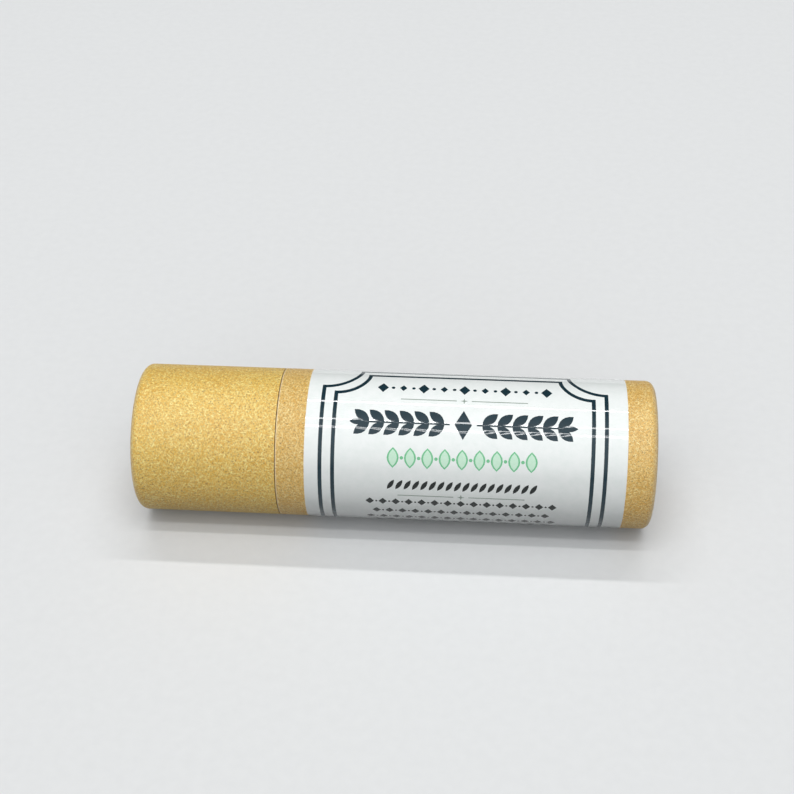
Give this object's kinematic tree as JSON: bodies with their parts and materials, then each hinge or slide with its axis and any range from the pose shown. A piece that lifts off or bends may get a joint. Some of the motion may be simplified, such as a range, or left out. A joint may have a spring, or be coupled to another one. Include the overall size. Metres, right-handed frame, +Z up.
{
  "type": "push-up lip balm stick",
  "caption": "Push-up lip balm in a kraft paper tube: rolled rims, pull-off cap on an inner neck, board push disc under a solid balm, wrap-round label.",
  "frame": {"origin": "on the surface that the closed tube lies on, under the middle of its length", "axes": "+X along the tube from the cap to the foot, +Z up, -Y towards the front of the label"},
  "size_m": [0.0706, 0.0204, 0.0205],
  "materials": {
    "kraft": "satin",
    "board": "matte",
    "kraft_disc": "matte",
    "parchment": "satin",
    "label_stock": "gloss",
    "wax_balm": "satin"
  },
  "bodies": {
    "tube": {"sleeve_tube": "board", "sleeve_wrap": "kraft", "neck_tube": "board", "neck_liner": "parchment", "label": "label_stock"},
    "pusher": {"push_disc": "kraft_disc", "push_disc_facing": "parchment", "balm": "wax_balm"},
    "cap": {"cap_tube": "board", "cap_wrap": "kraft", "cap_disc": "kraft_disc", "cap_disc_facing": "parchment"}
  },
  "joints": [
    {"name": "push_up", "type": "slide", "parent": "tube", "child": "pusher", "axis": [-1, 0, 0], "range_m": [0, 0.062]},
    {"name": "cap_pull", "type": "slide", "parent": "pusher", "child": "cap", "axis": [-1, 0, 0], "range_m": [0, 0.03]}
  ]
}
